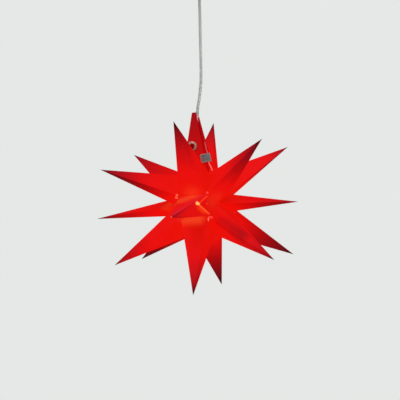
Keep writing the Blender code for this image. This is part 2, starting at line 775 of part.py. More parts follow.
def make_plate(group, cutters, mat):
    """Ceiling plate with two screw holes and a hole for the wires"""
    radius = CANOPY_RADIUS - CANOPY_WALL - FIT_GAP
    profile = [(0.0, 0.0), (radius, 0.0), (radius, -PLATE_THICKNESS), (0.0, -PLATE_THICKNESS)]
    plate = turned("ceiling_plate", profile, False, FITTING_STEPS, group, mat)
    holes = {
        "screw_hole_left": (-PLATE_SCREW_SPACING / 2, 0.0, PLATE_SCREW_RADIUS),
        "screw_hole_right": (PLATE_SCREW_SPACING / 2, 0.0, PLATE_SCREW_RADIUS),
        "wire_hole": (0.0, PLATE_WIRE_HOLE_Y, PLATE_WIRE_HOLE_RADIUS),
    }
    for name, (x, y, hole_radius) in holes.items():
        place = Matrix.Translation((x, y, 0.0))
        bottom = -PLATE_THICKNESS - CUT_OVERRUN
        cut(plate, cylinder_cutter(name, hole_radius, bottom, CUT_OVERRUN, HOLE_STEPS, cutters, None, place))


def make_canopy(group, mat):
    """Round cup that hides the plate, with a rounded lower rim and a hole for the grip"""
    outer_round = arc(
        CANOPY_RADIUS - CANOPY_ROUND, CANOPY_ROUND - CANOPY_HEIGHT, CANOPY_ROUND, 0.0, -pi / 2, ARC_POINTS
    )
    inner_round = arc(
        CANOPY_RADIUS - CANOPY_ROUND, CANOPY_ROUND - CANOPY_HEIGHT, CANOPY_ROUND - CANOPY_WALL, -pi / 2, 0.0,
        ARC_POINTS,
    )
    hole = GRIP_RADIUS + FIT_GAP
    profile = [(CANOPY_RADIUS - CANOPY_WALL, -FIT_GAP), (CANOPY_RADIUS, -FIT_GAP)] + outer_round
    profile += [(hole, -CANOPY_HEIGHT), (hole, CANOPY_WALL - CANOPY_HEIGHT)] + inner_round
    turned("ceiling_canopy", profile, True, FITTING_STEPS, group, mat)


def make_grip(group, mat):
    """Cable grip through the canopy, its collar inside and a ball socket below"""
    socket = BALL_RADIUS + FIT_GAP
    top_angle = pi / 2 - GRIP_TOP_BORE_RADIUS / socket
    collar_bottom = CANOPY_WALL - CANOPY_HEIGHT + FIT_GAP
    collar_top = collar_bottom + GRIP_COLLAR_THICKNESS
    inside = arc(0.0, BALL_CENTRE_Z, socket, -GRIP_LIP_ANGLE, top_angle, 2 * ARC_POINTS)
    lip_r, lip_z = inside[0]
    roof_z = BALL_CENTRE_Z + socket + GRIP_COLLAR_THICKNESS
    profile = [
        (GRIP_TOP_BORE_RADIUS, roof_z),
        (GRIP_RADIUS, roof_z),
        (GRIP_RADIUS, collar_top),
        (GRIP_COLLAR_RADIUS, collar_top),
        (GRIP_COLLAR_RADIUS, collar_bottom),
        (GRIP_RADIUS, collar_bottom),
        (GRIP_RADIUS, BALL_CENTRE_Z),
        (lip_r + GRIP_COLLAR_THICKNESS / 2, lip_z),
    ]
    return turned("cord_grip", profile + inside, True, SWIVEL_STEPS, group, mat)


def make_ball(group, mat):
    """Swivel ball, flat where the cable leaves it"""
    flat_angle = -pi / 2 + BALL_FLAT_RADIUS / BALL_RADIUS
    profile = arc(0.0, 0.0, BALL_RADIUS, pi / 2, flat_angle, 2 * ARC_POINTS)
    profile[0] = (0.0, BALL_RADIUS)
    flat_z = -sqrt(BALL_RADIUS**2 - BALL_FLAT_RADIUS**2)
    profile[-1] = (BALL_FLAT_RADIUS, flat_z)
    profile.append((0.0, flat_z))
    place = Matrix.Translation((0.0, 0.0, BALL_CENTRE_Z))
    return turned("swivel_ball", profile, False, SWIVEL_STEPS, group, mat, None, place)


def foil_surface():
    """Red translucent foil"""
    return principled("red_foil", (0.80, 0.012, 0.012), 0.38)


def pin_surface():
    """Clear plastic of the corner pins"""
    return principled("clear_pin", (0.90, 0.72, 0.66), 0.25)


def build_star(part, cutters):
    """Points, gussets, pins, clip and eyelet, all carried by the star's own frame"""
    frame = star_frame(part)
    foil = foil_surface()
    pin_holes = make_pin_holes(cutters, frame)
    points = {name: make_point(name, part, foil, frame, pin_holes) for name in POINT_SHARES}
    for name in GUSSETS:
        make_gusset(name, part, foil, frame)
    make_pins(part, pin_surface(), frame)
    form = PointForm("cable_point")
    eyelet_frame = eyelet_placement(form)
    eyelet_hole = cylinder_cutter(
        "eyelet_hole", EYELET_BARREL_RADIUS + FIT_GAP, -FOIL - CUT_OVERRUN, CUT_OVERRUN, 2 * HOLE_STEPS,
        cutters, frame, eyelet_frame,
    )
    for cutter in (make_slit(form, cutters, frame), eyelet_hole):
        cut(points["cable_point"], cutter)
    cut(points["cable_point"], tube_cutter("cable_way", CABLE_RADIUS + FIT_GAP, cutters))
    make_clip(part, principled("clip_steel", (0.27, 0.27, 0.26), 0.40, metallic=0.8), frame)
    make_eyelet(part, principled("eyelet_brass", (0.50, 0.38, 0.27), 0.40, metallic=0.8), frame, eyelet_frame)


def build_cable_and_lamp(part):
    """Cable, its stop, and the lamp on its end"""
    tube("cable", CABLE_RADIUS, part, principled("cable_clear", (0.62, 0.63, 0.61), 0.3, alpha=0.8))
    make_stop(part, principled("stop_clear", (0.80, 0.79, 0.76), 0.4))
    make_holder(part, principled("holder_white", (0.80, 0.79, 0.75), 0.45))
    make_lamp(part, principled("lamp_warm", (1.0, 0.82, 0.50), 0.2))


def build_fitting(part, cutters):
    """Ceiling plate, canopy, grip and swivel ball"""
    white = principled("fitting_white", (0.82, 0.82, 0.80), 0.4)
    make_plate(part, cutters, white)
    make_canopy(part, white)
    make_grip(part, white)
    make_ball(part, principled("ball_steel", (0.66, 0.66, 0.65), 0.3, metallic=0.9))


def main():
    clear_scene()
    part = collection("moravian_star")
    cutters = collection("cutters")
    build_fitting(part, cutters)
    build_cable_and_lamp(part)
    build_star(part, cutters)


main()
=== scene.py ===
"""Looks of the hanging folded-foil star: lit red foil, clear cable, clip, eyelet, lamp and ceiling cup."""

from itertools import combinations
from math import acos, cos, pi, sin

import bmesh
import bpy
from mathutils import Matrix, Vector

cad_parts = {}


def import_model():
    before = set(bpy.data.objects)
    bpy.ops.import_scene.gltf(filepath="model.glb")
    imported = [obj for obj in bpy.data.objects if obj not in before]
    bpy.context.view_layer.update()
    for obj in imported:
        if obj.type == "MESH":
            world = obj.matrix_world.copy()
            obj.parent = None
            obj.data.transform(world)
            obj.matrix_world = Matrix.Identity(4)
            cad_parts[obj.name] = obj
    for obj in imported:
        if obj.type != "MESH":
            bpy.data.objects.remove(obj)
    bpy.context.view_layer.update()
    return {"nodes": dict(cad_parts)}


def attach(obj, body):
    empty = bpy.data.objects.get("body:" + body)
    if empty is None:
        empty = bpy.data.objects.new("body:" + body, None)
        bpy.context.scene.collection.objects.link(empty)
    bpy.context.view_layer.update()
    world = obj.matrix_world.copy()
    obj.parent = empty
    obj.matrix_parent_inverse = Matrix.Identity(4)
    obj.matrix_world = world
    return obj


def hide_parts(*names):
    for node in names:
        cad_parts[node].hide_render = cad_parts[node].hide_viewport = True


# The photograph's camera: level, and so far off that the star shows almost no perspective
STAR_CENTRE = (0.0010, 0.0010, -0.1480)
CAMERA_DISTANCE = 1.0273
CAMERA_SHIFT_X = -0.00066
CAMERA_SHIFT_Z = 0.0029
CAMERA_SENSOR = 36.0
CAMERA_LENS = 149.13
CAMERA_CLIP_START = 0.01

# Plain surroundings
BACKGROUND = (0.783, 0.807, 0.791)
WORLD_LIGHT = (0.90, 0.93, 1.00)
WORLD_STRENGTH = 0.26
FLOOR_Z = -0.3400
FLOOR_SIZE = 6.0
FLOOR_KEPT_RADIUS = 0.24
FLOOR_FADE_RADIUS = 0.60

# Lamps, aimed at the star: place, size and power
LAMPS = {
    "key": ((-0.55, -0.75, 0.55), 0.70, 8.0),
    "top": ((0.25, 0.35, 0.75), 0.80, 5.0),
    "fill": ((0.95, -0.80, -0.05), 0.80, 3.0),
}

# Cable: the route's given points, from under the swivel ball down to the lamp holder
STRAND_RADIUS = 0.00052
STRAND_OFFSET = 0.00043
CORE_RADIUS = 0.00024
CABLE_ROUTE = (
    (0.0000, 0.0000, -0.0198),
    (0.0006, -0.0006, -0.0480),
    (0.0009, -0.0011, -0.0610),
    (0.0009, -0.0016, -0.0710),
    (0.0002, -0.0020, -0.0800),
    (-0.0009, -0.0021, -0.0870),
    (-0.0013, -0.0013, -0.0918),
    (-0.0015, 0.0000, -0.0958),
    (-0.0024, -0.0003, -0.1028),
    (-0.0021, -0.0002, -0.1110),
    (-0.0016, -0.0002, -0.1200),
    (-0.0013, -0.0002, -0.1275),
    (-0.0013, -0.0002, -0.1315),
)
CABLE_POINTS = 90
SPAN_STEPS = 16
SECTION_STEPS = 12

# The heights over which the cable goes into the star, and its colours outside and inside, the red inside
# being painted red light from the lit foil around it
CABLE_INSIDE_Z = (-0.0975, -0.0940)
CABLE_CLEAR = (0.86, 0.87, 0.85)
CABLE_PAINTED_RED_LIGHT = (0.50, 0.03, 0.03)

# How finely the wires are wound, and each one's dark and light shade. The left one is the darker, as painted
# shade, and the right one the lighter, as painted light
WIRE_WINDING = (2200.0, 2200.0, 900.0)
WIRE_SHADES_LIT_AND_SHADED = {
    "left": ((0.12, 0.115, 0.105), (0.36, 0.350, 0.330)),
    "right": ((0.32, 0.315, 0.300), (0.66, 0.650, 0.630)),
}

# The light that comes up the slit into the cable: the heights it spans, and its colours from the lowest up
CABLE_LIGHT_Z = (-0.0975, -0.0900)
CABLE_LIGHT = (
    (0.00, (0.30, 0.012, 0.015)),
    (0.17, (0.33, 0.030, 0.040)),
    (0.31, (0.46, 0.150, 0.150)),
    (0.44, (0.42, 0.170, 0.160)),
    (0.60, (0.12, 0.040, 0.040)),
    (0.80, (0.00, 0.000, 0.000)),
)

# Foil's light: the distances from the lamp over which it falls off, its mottling, the leans between which a
# wall goes from underside to top, and the most red in it facing down and facing up
FOIL_NEAR = 0.016
FOIL_FAR = 0.068
FOIL_MOTTLE = (0.92, 1.08)
FOIL_UNDER_TO_TOP = (-0.45, -0.05)
FOIL_RED_MOST = (0.68, 0.545)

# Hot foil: the light above which little red is added, that red's share, and the green and blue in the light
FOIL_HOT_FROM = 1.2
FOIL_HOT_RED_SHARE = 0.07
FOIL_GREEN_SHARE = 0.006
FOIL_BLUE_SHARE = 0.25

# Foil's surface: its gloss, how far crinkles change the light, how much and how widely their ridges dull it,
# its rounded folds, its wrinkles' strength and height, and its colours from the foot to the tip, which
# darken towards the tip as painted shade and turn a little bluer there as painted sheen
FOIL_GLOSS = 0.0
CRINKLE_SHARE = 0.045
CRINKLE_RIDGE = -0.055
CRINKLE_RIDGE_WIDTH = 0.03
FOLD_RADIUS = 0.0004
FOLD_SAMPLES = 4
WRINKLE_STRENGTH = 0.12
WRINKLE_HEIGHT = 0.0006
FOIL_SHADE_AND_SHEEN_COLOURS = (
    (0.20, (0.27, 0.005, 0.006)),
    (0.60, (0.27, 0.006, 0.009)),
    (0.90, (0.22, 0.008, 0.014)),
    (1.00, (0.10, 0.003, 0.006)),
)

# Each foil node's light: how much gets through, and how fast that drops on its top and its undersides
USUAL_TONE = (1.00, 0.90, 0.90)
FOIL_TONES = {
    "cable_point": (0.43, 0.75, 0.75),
    "point_upper_front": (1.00, 0.95, 0.90),
    "point_upper_back": (0.88, 0.80, 0.80),
    "point_lower_front": (1.00, 0.68, 0.90),
    "point_lower_back": (0.95, 1.60, 1.65),
    "point_left": (1.00, 0.90, 1.10),
    "point_right": (0.92, 1.05, 1.90),
    "point_front": (1.00, 0.45, 1.60),
    "point_left_upper_front": (1.00, 1.05, 2.20),
    "point_left_upper_back": (0.56, 0.60, 1.50),
    "point_left_lower_front": (1.00, 0.80, 0.60),
    "point_left_lower_back": (0.75, 2.00, 2.40),
    "point_right_upper_front": (1.00, 1.10, 1.50),
    "point_right_upper_back": (1.00, 0.55, 1.40),
    "point_right_lower_front": (0.90, 0.60, 0.64),
    "point_right_lower_back": (0.95, 1.80, 1.70),
}

# Painted streaks where the foil is lit more, and painted shade where it is lit less:
# start, end, radius and strength
HOT_STREAKS = (
    ((-0.0085, -0.0170, -0.1572), (-0.0004, -0.0189, -0.1568), 0.0070, 1.90),
    ((-0.0200, -0.0035, -0.1485), (-0.0175, -0.0012, -0.1473), 0.0075, 1.00),
    ((-0.0126, -0.0300, -0.1462), (-0.0050, -0.0220, -0.1436), 0.0100, 1.80),
    ((0.0080, -0.0185, -0.1455), (0.0105, -0.0176, -0.1430), 0.0075, 0.60),
)
SHADED_STREAKS = {
    "point_right_lower_front": ((0.0134, -0.0218, -0.1569), (0.0256, -0.0294, -0.1655), 0.0080, -0.36),
}

# Front point: its upper right fold from foot to tip, with a painted band of darker, bluish sheen above it
# and a painted shadow below, which grows towards the tip and on walls that lean less upwards
RIDGE_FOOT = (0.0043, -0.0199, -0.1415)
RIDGE_TIP = (-0.0168, -0.0659, -0.1552)
RIDGE_BAND = 0.0042
RIDGE_SHEEN_COLOUR = (0.50, 0.008, 0.022)
RIDGE_SHADOW = 0.0030
RIDGE_SHADOW_COLOUR = (0.25, 0.002, 0.003)
RIDGE_SHADOW_REACH = (0.034, 0.004)
RIDGE_SHADOW_LEAN = (0.4, 0.2)

# Light that leaks past the front right gusset's tongue: the end of its two arms, their feet and colours,
# their width and fading, how much depth counts, a warm patch under them and a bright spot at the end
LEAK_END = (-0.0010, -0.0350, -0.1475)
LEAK_ARMS = (
    ((0.0048, -0.0197, -0.1426), (1.00, 0.060, 0.022)),
    ((0.0060, -0.0194, -0.1537), (1.00, 0.150, 0.030)),
)
LEAK_WIDTH = 0.0009
LEAK_FADE = 0.0260
LEAK_DEPTH_SHARE = 0.35
LEAK_PATCH = ((0.0000, -0.0310, -0.1500), (0.0030, -0.0240, -0.1522))
LEAK_PATCH_RADIUS = 0.0024
LEAK_PATCH_STRENGTH = 0.6
LEAK_PATCH_COLOUR = (0.78, 0.050, 0.005)
LEAK_SPOT_PLACE = (-0.0010, -0.0340, -0.1470)
LEAK_SPOT = 0.0017
LEAK_SPOT_COLOUR = (1.00, 0.66, 0.17)

# Pin-pricks of light where the foil's corners meet, and on the front point's tip: place, radius and colour,
# and the share of the radius that is in full colour
SPOT_CORE_SHARE = 0.3
LIGHT_SPOTS = {
    "point_left_upper_front": ((-0.0140, -0.0139, -0.1436), 0.0014, (1.00, 0.12, 0.060)),
    "point_right_lower_front": ((0.0072, -0.0202, -0.1556), 0.0013, (0.98, 0.055, 0.040)),
    "point_lower_front": ((0.0056, -0.0194, -0.1569), 0.0014, (1.00, 0.260, 0.190)),
    "point_front": (RIDGE_TIP, 0.0030, (1.00, 0.14, 0.130)),
    "gusset_front_right": ((0.0046, -0.0225, -0.1472), 0.0011, (0.94, 0.045, 0.025)),
}

# The top right tongue's folded edge, which runs up beside the cable point's slit, painted pale by a glow of
# painted light: its places from the top down, its section, how many points it is drawn by, its glow by
# height, and its own colour
TONGUE_EDGE = (
    (0.0032, -0.0022, -0.1092),
    (0.0038, -0.0026, -0.1115),
    (0.0043, -0.0024, -0.1142),
    (0.0050, -0.0016, -0.1160),
    (0.0055, -0.0032, -0.1195),
    (0.0060, -0.0056, -0.1228),
    (0.0068, -0.0078, -0.1243),
    (0.0076, -0.0104, -0.1262),
    (0.0080, -0.0112, -0.1270),
)
TONGUE_EDGE_WIDTH = 0.0007
TONGUE_EDGE_DEPTH = 0.0002
TONGUE_EDGE_POINTS = 24
TONGUE_EDGE_GLOW = (
    (-0.1270, (0.95, 0.095, 0.085)),
    (-0.1180, (0.60, 0.070, 0.075)),
    (-0.1092, (0.36, 0.040, 0.045)),
)
TONGUE_EDGE_COLOUR = (0.30, 0.035, 0.035)

# Pins: their shades, their painted red glow, and the painted glints of the heads in which the lamp shows,
# where a head begins and is in full glow, from the star's centre, and how far it rises off its corner
PIN_SHADES = ((0.35, (0.26, 0.010, 0.010)), (0.70, (0.30, 0.016, 0.012)))
PIN_RED_GLOW = (0.60, 0.006, 0.004)
LIT_PINS = {
    "corner_pin_09": (0.78, 0.110, 0.048),
    "corner_pin_13": (0.76, 0.050, 0.042),
    "corner_pin_21": (0.80, 0.050, 0.036),
}
PIN_HEAD_FROM = 0.0232
PIN_HEAD_TO = 0.0240
PIN_HEAD_RISE = 0.0028

# Clip: its middle, its directions up the slit and across it, its size along them, the width and strength of
# its paler, redder rims, its colours, and how fast it turns darker and browner towards the left,
# as painted shade on that wing
CLIP_CENTRE = (0.0042, -0.0066, -0.1192)
CLIP_UP = (-0.20391, 0.14501, 0.96819)
CLIP_ACROSS = (0.970, -0.060, 0.220)
CLIP_HALF_HEIGHT = 0.00265
CLIP_LEFT = -0.0036
CLIP_RIGHT = 0.0028
CLIP_RIM = 0.0006
CLIP_RIM_TOP_AND_BOTTOM = 0.75
CLIP_RIM_LEFT = 0.80
CLIP_RIM_RIGHT = 0.55
CLIP_STEEL = (0.135, 0.145, 0.165)
CLIP_SHADED_BROWN = (0.095, 0.078, 0.066)
CLIP_RIM_COLOUR = (0.36, 0.22, 0.17)
CLIP_LEFT_SHADING = 60.0
CLIP_BRUSHING = (300.0, 300.0, 6000.0)

# A dark spot on the clip: its middle, from where to where it darkens, how much, and its colour
CLIP_SPOT = (0.0027, -0.0070, -0.1176)
CLIP_SPOT_REACH = (0.0016, 0.0003)
CLIP_SPOT_SHARE = 0.75
CLIP_SPOT_COLOUR = (0.045, 0.028, 0.024)

# Eyelet: its middle, its upward direction, how far and how much it is painted lighter that way as painted
# light from above, and its shades
EYELET_CENTRE = (-0.0041, -0.0046, -0.1114)
EYELET_UP = (-0.2, 0.0, 0.98)
EYELET_REACH = 0.0034
EYELET_TOP_HIGHLIGHT = 0.12
EYELET_SHADES = (
    (0.36, (0.20, 0.060, 0.035)),
    (0.50, (0.24, 0.120, 0.080)),
    (0.64, (0.54, 0.270, 0.230)),
)
EYELET_METALLIC = 0.45

# Painted shade on the foil seen through the eyelet: its middle, from where to where it darkens, how much,
# its colour
EYELET_HOLE = (-0.0050, 0.0046, -0.1116)
EYELET_HOLE_REACH = (0.0042, 0.0020)
EYELET_HOLE_SHARE = 0.85
EYELET_HOLE_SHADE_COLOUR = (0.06, 0.001, 0.001)

# Moulded pieces: their colour, its soiled shade, and their roughness
CEILING_WHITE = ((0.82, 0.82, 0.80), (0.74, 0.72, 0.67), 0.42)
PLATE_GREY = ((0.52, 0.52, 0.51), (0.46, 0.45, 0.42), 0.50)
STOP_CLEAR = ((0.80, 0.79, 0.76), (0.70, 0.67, 0.60), 0.35)
HOLDER_WHITE = ((0.80, 0.79, 0.75), (0.68, 0.64, 0.55), 0.45)

# Lamp: its body's colour, and its light's colour and strength
LAMP_BODY_COLOUR = (1.0, 0.80, 0.45)
LAMP_LIGHT_COLOUR = (1.0, 0.66, 0.26)
LAMP_LIGHT_STRENGTH = 3.0

# Swivel ball: how finely it is turned, and its rings' shades
BALL_TURNING = (250.0, 250.0, 9000.0)
BALL_SHADES = ((0.3, (0.50, 0.50, 0.50)), (0.7, (0.68, 0.68, 0.67)))

# Where most of a noise node's values lie
NOISE_RANGE = (0.3, 0.7)

# How high the fine grain stands on plastic and metal, and on the cable
GRAIN_HEIGHT = 0.0001
CABLE_GRAIN_HEIGHT = 0.0002

# The star body's corners: how many lie towards each axis, and what each sign adds to a corner's number
CORNERS_PER_AXIS = 8
SIGN_BITS = (4, 2, 1)

# Tabs behind the foil's seams, which close them to the light inside: how far in, their section, how far
# they end from a corner, and a height just above the open lowest face
TAB_DEPTH = 0.0012
TAB_WIDTH = 0.0024
TAB_THICKNESS = 0.0002
TAB_END = 0.0016
OPEN_FACE_Z = -0.1640


class Tree:
    """A material's nodes, with short ways to add and join them"""

    def __init__(self, name):
        self.mat = bpy.data.materials.new(name)
        self.mat.use_nodes = True
        self.nodes = self.mat.node_tree.nodes
        self.links = self.mat.node_tree.links
        self.shader = self.nodes["Principled BSDF"]

    def add(self, kind, **settings):
        node = self.nodes.new("ShaderNode" + kind)
        for key, value in settings.items():
            setattr(node, key, value)
        return node

    def feed(self, socket, value):
        """Set a socket, or join an output to it"""
        if isinstance(value, bpy.types.NodeSocket):
            self.links.new(value, socket)
        else:
            socket.default_value = value

    def set(self, **values):
        """Feed the shader's sockets, named with underscores for spaces"""
        for key, value in values.items():
            self.feed(self.shader.inputs[key.replace("_", " ")], value)

    def place(self):
        """Where a point is on the object at rest"""
        return self.add("TexCoord").outputs["Object"]

    def component(self, vector, axis):
        """A vector's reach along X, Y or Z, numbered from nought"""
        node = self.add("SeparateXYZ")
        self.feed(node.inputs[0], vector)
        return node.outputs[axis]

    def facing(self, axis):
        """How far the surface faces along X, Y or Z: one along it, minus one against it"""
        return self.component(self.add("NewGeometry").outputs["Normal"], axis)

    def math(self, operation, first, second=0.0, clamp=False):
        node = self.add("Math", operation=operation, use_clamp=clamp)
        self.feed(node.inputs[0], first)
        self.feed(node.inputs[1], second)
        return node.outputs[0]

    def vector(self, operation, first, second=(0.0, 0.0, 0.0), output=0):
        node = self.add("VectorMath", operation=operation)
        self.feed(node.inputs[0], first)
        self.feed(node.inputs[1], second)
        return node.outputs[output]

    def span(self, value, low, high, to_low=0.0, to_high=1.0, smooth=False):
        """A value's way from low to high, as a way between two others"""
        node = self.add("MapRange", interpolation_type="SMOOTHSTEP" if smooth else "LINEAR")
        for socket, given in zip(node.inputs, (value, low, high, to_low, to_high)):
            self.feed(socket, given)
        return node.outputs[0]

    def noise(self, place, scale, detail=3.0, roughness=0.5, distortion=0.0):
        node = self.add("TexNoise")
        self.feed(node.inputs["Vector"], place)
        node.inputs["Scale"].default_value = scale
        node.inputs["Detail"].default_value = detail
        node.inputs["Roughness"].default_value = roughness
        node.inputs["Distortion"].default_value = distortion
        return node.outputs[0]

    def varied(self, noise, low, high):
        """Noise as a value that varies between two others"""
        return self.span(noise, *NOISE_RANGE, low, high)

    def ramp(self, value, stops):
        """The colour at a value, between two or more stops"""
        node = self.add("ValToRGB")
        elements = node.color_ramp.elements
        while len(elements) < len(stops):
            elements.new(1.0)
        for element, (at, colour) in zip(elements, stops):
            element.position = at
            element.color = rgba(colour)
        self.feed(node.inputs[0], value)
        return node.outputs[0]

    def mix(self, share, first, second):
        node = self.add("Mix", data_type="RGBA")
        self.feed(node.inputs[0], share)
        self.feed(node.inputs[6], first)
        self.feed(node.inputs[7], second)
        return node.outputs[2]

    def bump(self, height, strength, distance, normal=None):
        node = self.add("Bump")
        node.inputs["Strength"].default_value = strength
        node.inputs["Distance"].default_value = distance
        self.feed(node.inputs["Height"], height)
        if normal is not None:
            self.feed(node.inputs["Normal"], normal)
        return node.outputs[0]


def rgba(colour):
    """A colour as a socket takes it"""
    return (*colour, 1.0)


# Materials


def foil(name):
    """Satin red foil in front of the lamp, for one piece, with the lamp's light through it painted as its
    glow
    """
    level, fall, under_fall = FOIL_TONES.get(name, USUAL_TONE)
    tree = Tree("red_foil_look_" + name)
    place = tree.place()
    reach = tree.span(distance(tree, place, STAR_CENTRE), FOIL_NEAR, FOIL_FAR)
    upward = tree.facing(2)
    # Painted light: the lamp's glow through the foil, less towards the tips, with painted shade on walls
    # facing down
    light = lamp_light(tree, place, reach, level, tree.span(upward, *FOIL_UNDER_TO_TOP, under_fall, fall))
    # Painted shade along the shaded streaks
    if name in SHADED_STREAKS:
        light = tree.math("ADD", light, streak(tree, place, *SHADED_STREAKS[name]))
    colour = glow(tree, light, upward, crinkles(tree, place))
    if name in FOIL_EXTRAS:
        colour = FOIL_EXTRAS[name](tree, place, upward, colour)
    if name in LIGHT_SPOTS:
        colour = light_spot(tree, place, colour, *LIGHT_SPOTS[name])
    folds = tree.add("Bevel", samples=FOLD_SAMPLES)
    folds.inputs["Radius"].default_value = FOLD_RADIUS
    wrinkles = tree.noise(place, 420.0, 5.0, 0.62, 0.6)
    # The base colour darkens towards the tips as painted shade, and its blue rises there as painted sheen
    tree.set(
        Base_Color=tree.ramp(reach, FOIL_SHADE_AND_SHEEN_COLOURS),
        Roughness=tree.varied(tree.noise(place, 260.0, 3.0), 0.30, 0.44),
        Emission_Color=colour,
        Emission_Strength=1.0,
        Normal=tree.bump(wrinkles, WRINKLE_STRENGTH, WRINKLE_HEIGHT, folds.outputs[0]),
        Specular_IOR_Level=FOIL_GLOSS,
    )
    return tree.mat


def crinkles(tree, place):
    """How much the foil's fine crinkles brighten or dull it"""
    rough = tree.noise(place, 480.0, 6.0, 0.68, 1.4)
    ridges = tree.math("ABSOLUTE", tree.math("SUBTRACT", tree.noise(place, 230.0, 3.0, 0.6, 1.8), 0.5))
    ridge = tree.span(ridges, 0.0, CRINKLE_RIDGE_WIDTH, CRINKLE_RIDGE, 0.0)
    return tree.math("ADD", tree.varied(rough, 1.0 - CRINKLE_SHARE, 1.0 + CRINKLE_SHARE), ridge)


def glow(tree, light, upward, crinkle):
    """The colour of an amount of light through the foil: its red stops growing before its green does"""
    spare = tree.math("MAXIMUM", tree.math("SUBTRACT", light, FOIL_HOT_FROM), 0.0)
    red = tree.math("MINIMUM", light, tree.span(upward, -1.0, 1.0, *FOIL_RED_MOST))
    red = tree.math("ADD", red, tree.math("MULTIPLY", spare, FOIL_HOT_RED_SHARE))
    green = tree.math("MULTIPLY", tree.math("POWER", light, 2.0), FOIL_GREEN_SHARE)
    both = tree.add("CombineColor")
    for socket, value in zip(both.inputs, (red, green, tree.math("MULTIPLY", green, FOIL_BLUE_SHARE))):
        tree.feed(socket, tree.math("MULTIPLY", value, crinkle))
    return both.outputs[0]


def distance(tree, place, centre):
    """How far a point is from another"""
    return tree.vector("LENGTH", tree.vector("SUBTRACT", place, centre), output=1)


def lamp_light(tree, place, reach, level, drop):
    """The lamp's light through the foil: less towards the tips, uneven, and strongest in the hot streaks"""
    dull, bright = FOIL_MOTTLE
    mottle = tree.varied(tree.noise(place, 130.0, 5.0, 0.68, 0.4), dull * level, bright * level)
    light = tree.math("MULTIPLY", tree.math("POWER", tree.math("SUBTRACT", 1.0, reach), drop), mottle)
    for given in HOT_STREAKS:
        light = tree.math("ADD", light, streak(tree, place, *given))
    return light


def streak(tree, place, start, end, radius, strength):
    """A strength along a line, falling to nought at the radius"""
    return tree.span(from_line(tree, place, start, end), radius, 0.0, 0.0, strength, smooth=True)


def from_line(tree, place, start, end):
    """How far a point is from a straight line between two others"""
    line = Vector(end) - Vector(start)
    away = tree.vector("SUBTRACT", place, start)
    share = tree.vector("DOT_PRODUCT", away, tuple(line / line.length_squared), 1)
    share = tree.math("MINIMUM", tree.math("MAXIMUM", share, 0.0), 1.0)
    along = tree.add("VectorMath", operation="SCALE")
    along.inputs[0].default_value = line
    tree.feed(along.inputs["Scale"], share)
    return tree.vector("LENGTH", tree.vector("SUBTRACT", away, along.outputs[0]), output=1)


def flattened(point):
    """A place with its depth from front to back made shallower"""
    x, y, z = point
    return (x, y * LEAK_DEPTH_SHARE, z)


def leaking_light(tree, place, upward, colour):
    """The lamp's light past the front tongue's free edges, brightest at their end"""
    place = tree.vector("MULTIPLY", place, (1.0, LEAK_DEPTH_SHARE, 1.0))
    end = flattened(LEAK_END)
    fade = tree.span(distance(tree, place, end), 0.0, LEAK_FADE, 1.0, 0.0)
    start, stop = (flattened(point) for point in LEAK_PATCH)
    patch = streak(tree, place, start, stop, LEAK_PATCH_RADIUS, LEAK_PATCH_STRENGTH)
    colour = tree.mix(patch, colour, rgba(LEAK_PATCH_COLOUR))
    for foot, tint in LEAK_ARMS:
        arm = streak(tree, place, end, flattened(foot), LEAK_WIDTH, 1.0)
        colour = tree.mix(tree.math("MULTIPLY", arm, fade), colour, rgba(tint))
    return light_spot(tree, place, colour, flattened(LEAK_SPOT_PLACE), LEAK_SPOT, LEAK_SPOT_COLOUR)


def light_spot(tree, place, colour, centre, radius, tint):
    """A soft spot of light"""
    share = tree.span(distance(tree, place, centre), radius, SPOT_CORE_SHARE * radius, smooth=True)
    return tree.mix(share, colour, rgba(tint))


def front_fold(tree, place, upward, colour):
    """The front point's fold, with painted bluish sheen above and painted shade below, and the light that
    leaks on to it
    """
    away = from_line(tree, place, RIDGE_FOOT, RIDGE_TIP)
    # Painted sheen along the fold above, and painted shadow below it
    above = tree.math("MULTIPLY", tree.span(away, RIDGE_BAND, 0.0, smooth=True), upward, clamp=True)
    colour = tree.mix(above, colour, rgba(RIDGE_SHEEN_COLOUR))
    near_tip = tree.span(distance(tree, place, RIDGE_TIP), *RIDGE_SHADOW_REACH)
    near_fold = tree.span(away, RIDGE_SHADOW, 0.0, smooth=True)
    leaning = tree.span(upward, *RIDGE_SHADOW_LEAN)
    below = tree.math("MULTIPLY", tree.math("MULTIPLY", near_fold, near_tip), leaning)
    colour = tree.mix(below, colour, rgba(RIDGE_SHADOW_COLOUR))
    return leaking_light(tree, place, upward, colour)


def eyelet_shade(tree, place, upward, colour):
    """The cable point's far wall, painted dark as shade where it is seen through the eyelet"""
    away = distance(tree, place, EYELET_HOLE)
    near = tree.span(away, *EYELET_HOLE_REACH, 0.0, EYELET_HOLE_SHARE, smooth=True)
    shade = tree.math("MULTIPLY", near, tree.math("LESS_THAN", tree.facing(1), 0.0))
    return tree.mix(shade, colour, rgba(EYELET_HOLE_SHADE_COLOUR))


FOIL_EXTRAS = {
    "point_front": front_fold,
    "gusset_front_right": leaking_light,
    "cable_point": eyelet_shade,
}


def pin_plastic(name, head_glow):
    """Moulded clear pin with the foil's red glow painted in, and a painted glint of the lamp's light in its
    head
    """
    tree = Tree("clear_pin_" + name)
    place = tree.place()
    # The red glow and the lamp's glint in the head are painted light
    head = tree.span(distance(tree, place, STAR_CENTRE), PIN_HEAD_FROM, PIN_HEAD_TO)
    tree.set(
        Base_Color=tree.ramp(tree.noise(place, 900.0, 3.0), PIN_SHADES),
        Roughness=tree.varied(tree.noise(place, 1500.0, 2.0), 0.26, 0.40),
        Specular_IOR_Level=0.0,
        Emission_Color=tree.mix(head, rgba(PIN_RED_GLOW), rgba(head_glow)),
        Emission_Strength=1.0,
        Normal=tree.bump(tree.noise(place, 2500.0, 2.0), 0.08, GRAIN_HEIGHT),
    )
    return tree.mat


